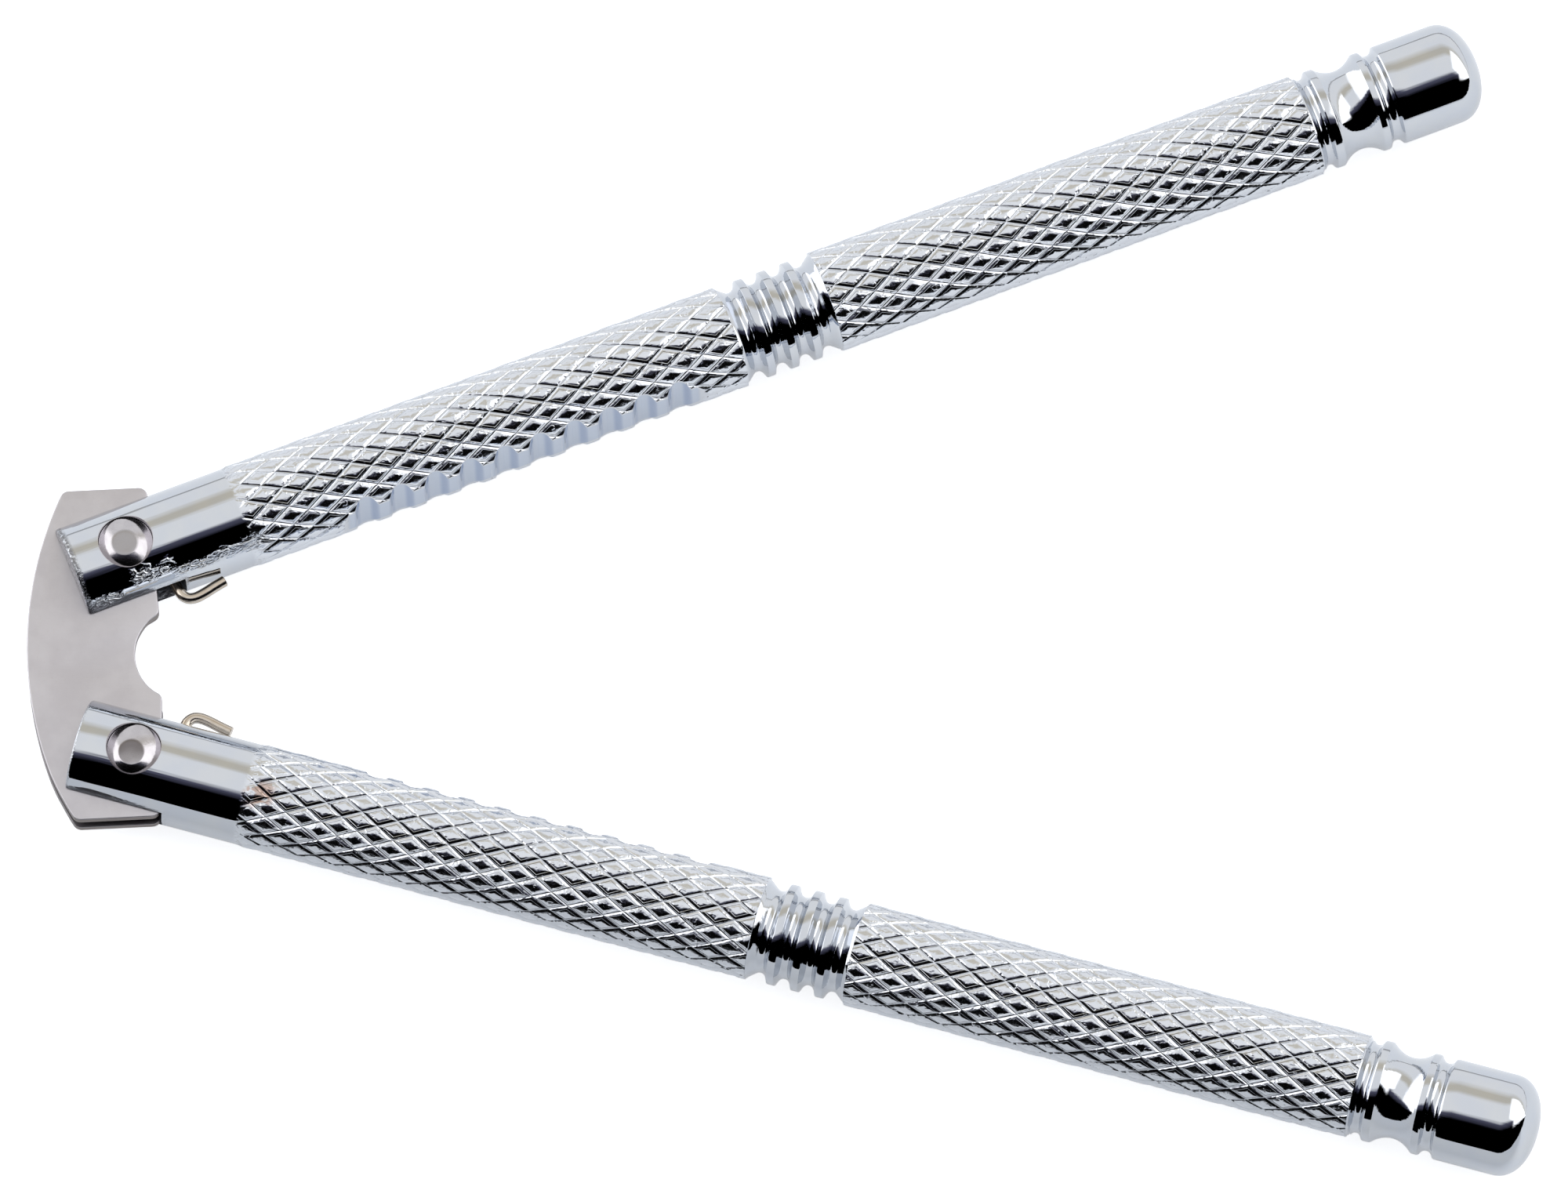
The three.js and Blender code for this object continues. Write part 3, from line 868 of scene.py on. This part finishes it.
def wire_material():
    mat, g, bsdf = new_material("spring_wire", 1.0)
    place_mm = local_mm(g)
    drawn = g.noise(place_mm, (0.8, 0.8, 9.0), 2.0, 0.6)
    clouds = g.noise(place_mm, (0.9, 0.9, 0.9), 3.0, 0.6)
    tone = g.mix(g.step(clouds, -0.2, 0.2), (0.55, 0.48, 0.40), (0.62, 0.56, 0.49))
    g.put(bsdf.inputs["Base Color"], tone)
    g.put(bsdf.inputs["Roughness"], g.add(0.15, g.times(clouds, 0.08)))
    g.put(bsdf.inputs["Normal"], g.bump(g.add(g.times(drawn, 0.004), g.times(clouds, 0.008))))
    return mat


def finish_piece(obj, node, mat, sharp_deg, body=None):
    obj.data.materials.clear()
    obj.data.materials.append(mat)
    shade(obj, sharp_deg)
    if body:
        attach(obj, body)
    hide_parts(node)


# ---- the pieces ---------------------------------------------------------------------------------
TURN = Matrix.Rotation(math.radians(OPEN_DEG), 4, "Z")
to_upper = Matrix.Translation((PIVOT_X, PIVOT_Y, AXIS_Z)) @ TURN
to_lower = (Matrix.Translation((PIVOT_X, -PIVOT_Y, AXIS_Z)) @ TURN.inverted()
            @ Matrix.Rotation(math.pi, 4, "X"))
# the lower slot ends closer to the plate, as the handle bears on it there
for side, seed, slot_end, where in (("upper", 11, SLOT_END, to_upper),
                                    ("lower", 23, SLOT_END - 0.2, to_lower)):
    handle = make_handle(f"{side}_handle_bar", seed, slot_end)
    place(handle, where)
    finish_piece(handle, f"{side}_handle",
                 chrome_material(f"{side}_chrome", side == "upper", side == "lower"), 20, f"{side}_handle")

plate_steel, spring_wire = plate_material(), wire_material()
for side, z0, extra in (("front", PLATE_GAP / 2, 0.0), ("back", -PLATE_GAP / 2 - PLATE_T, BACK_NOTCH_EXTRA)):
    sheet = make_plate(f"{side}_hinge_sheet", z0, extra)
    finish_piece(sheet, f"{side}_plate", plate_steel, 35, "hinge")
# each rivet's flat top tone; the lower one is painted darker as shade
for side, sign, lean_x, lean, tilt, flat_tone_and_shade in (("upper", 1, -0.1, 0.3, 0.01, (0.40, 0.39, 0.405)),
                                                  ("lower", -1, -0.27, 0.6, 0.03, (0.20, 0.185, 0.19))):
    rivet = make_rivet(f"{side}_rivet_pin", sign, lean_x, lean, tilt)
    finish_piece(rivet, f"{side}_rivet", rivet_material(f"{side}_rivet_steel", flat_tone_and_shade), 32,
                 "hinge")
for side, sign in (("upper", 1), ("lower", -1)):
    wire = make_spring_half(f"spring_{side}_half", sign)
    finish_piece(wire, "spring", spring_wire, 40)
    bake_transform(wire)

# ---- floor, light, camera -----------------------------------------------------------------------
floor = new_object("floor", [(-12, -12, 0), (12, -12, 0), (12, 12, 0), (-12, 12, 0)], [(0, 1, 2, 3)])
floor_mat, floor_graph, floor_bsdf = new_material("floor_white", 0.0)
floor_bsdf.inputs["Base Color"].default_value = (0.65, 0.68, 0.715, 1)
floor_bsdf.inputs["Roughness"].default_value = 0.9
floor_bsdf.inputs["Specular IOR Level"].default_value = 0.0
floor_bsdf.inputs["Emission Color"].default_value = (1, 1, 1, 1)
# the chrome sees it shaded in front of the lower handle; the picture sees it plain white
seen = floor_graph.nodes.new("ShaderNodeLightPath").outputs["Is Camera Ray"]
spot_x, spot_y, _ = floor_graph.split(floor_graph.nodes.new("ShaderNodeNewGeometry").outputs["Position"])
ahead = floor_graph.add(floor_graph.times(spot_x, math.tan(math.radians(OPEN_DEG))), spot_y,
                        (PIVOT_Y - PIVOT_X * math.tan(math.radians(OPEN_DEG))) * MM)
mirrored = floor_graph.step(ahead, -0.016, -0.004, 0.10, 0.38)
direct = floor_graph.times(seen, 0.80)
unseen = floor_graph.math("SUBTRACT", 1.0, seen)
floor_graph.put(floor_bsdf.inputs["Emission Strength"],
                floor_graph.add(direct, floor_graph.times(unseen, mirrored)))
floor.data.materials.append(floor_mat)

# the studio round the object, by angle from overhead: minus is behind it, plus is in front
WHITE = (1.0, 1.0, 1.0)
GREY = (0.5, 0.5, 0.5)         # where the floor meets the wall behind
WARM = (0.7, 0.65, 0.55)       # the wall between its lit part and the panel overhead
DUSK = (0.1, 0.1, 0.15)        # front edge of the panel overhead
DARK = (0.0, 0.0, 0.0)
SOFT_BOX = (1.95, 1.93, 1.92)
BANDS = (
    (-180, WHITE), (-92, WHITE), (-90, GREY), (-87, GREY), (-85, WHITE), (-55, WHITE),
    (-40, WARM), (-30, WARM), (-20, WHITE), (15, WHITE),
    (22, DUSK), (35, DARK), (90, DARK), (95, WHITE), (180, WHITE),
)


def studio_world():
    world = bpy.data.worlds.new("studio")
    bpy.context.scene.world = world
    world.use_nodes = True
    g = Graph(world.node_tree)
    x, y, z = g.split(g.nodes.new("ShaderNodeTexCoord").outputs["Generated"])
    angle = g.math("MULTIPLY", g.math("ARCTAN2", g.times(y, -1.0), z), 180 / math.pi)
    ramp = g.nodes.new("ShaderNodeValToRGB")
    g.put(ramp.inputs[0], g.math("MULTIPLY_ADD", angle, 1 / 360))
    ramp.inputs[0].links[0].from_node.inputs[2].default_value = 0.5
    elements = ramp.color_ramp.elements
    while len(elements) < len(BANDS):
        elements.new(1.0)
    for element, (degrees, colour) in zip(elements, BANDS):
        element.position = degrees / 360 + 0.5
        element.color = (*colour, 1)
    # two bright soft boxes, one at each end of the object
    high = g.step(angle, 8, 20, 1.0, 0.0)
    right = g.times(g.step(g.add(x, g.times(high, 0.30)), 0.58, 0.74), g.step(angle, 28, 42, 1.0, 0.0),
                    g.step(angle, -44, -36))
    left = g.times(g.step(x, -0.44, -0.60), g.step(angle, 14, 23, 1.0, 0.0))
    light = g.mix(g.math("MAXIMUM", right, left), ramp.outputs["Color"], SOFT_BOX)
    g.put(g.nodes["Background"].inputs["Color"], light)


studio_world()

VIEW_EL = math.radians(68.17)
ROLL = math.radians(2.78)
DISTANCE = 3.0
FIELD = 152.3                  # width of the view at the object
AIM_X, AIM_Y = 63.57, 3.04     # where the camera aims, along the bars from the pivots and across
SENSOR = 36
target = Vector((PIVOT_X + AIM_X, AIM_Y, AXIS_Z)) * MM
camera_data = bpy.data.cameras.new("camera")
camera = bpy.data.objects.new("camera", camera_data)
bpy.context.scene.collection.objects.link(camera)
camera.location = target + DISTANCE * Vector((0, -math.cos(VIEW_EL), math.sin(VIEW_EL)))
camera.rotation_euler = (Matrix.Rotation(math.pi / 2 - VIEW_EL, 4, "X")
                         @ Matrix.Rotation(-ROLL, 4, "Z")).to_euler()
camera_data.sensor_width = SENSOR
camera_data.lens = DISTANCE / MM * SENSOR / FIELD
camera_data.clip_end = 40
bpy.context.scene.camera = camera
bpy.context.scene.view_settings.view_transform = "Standard"
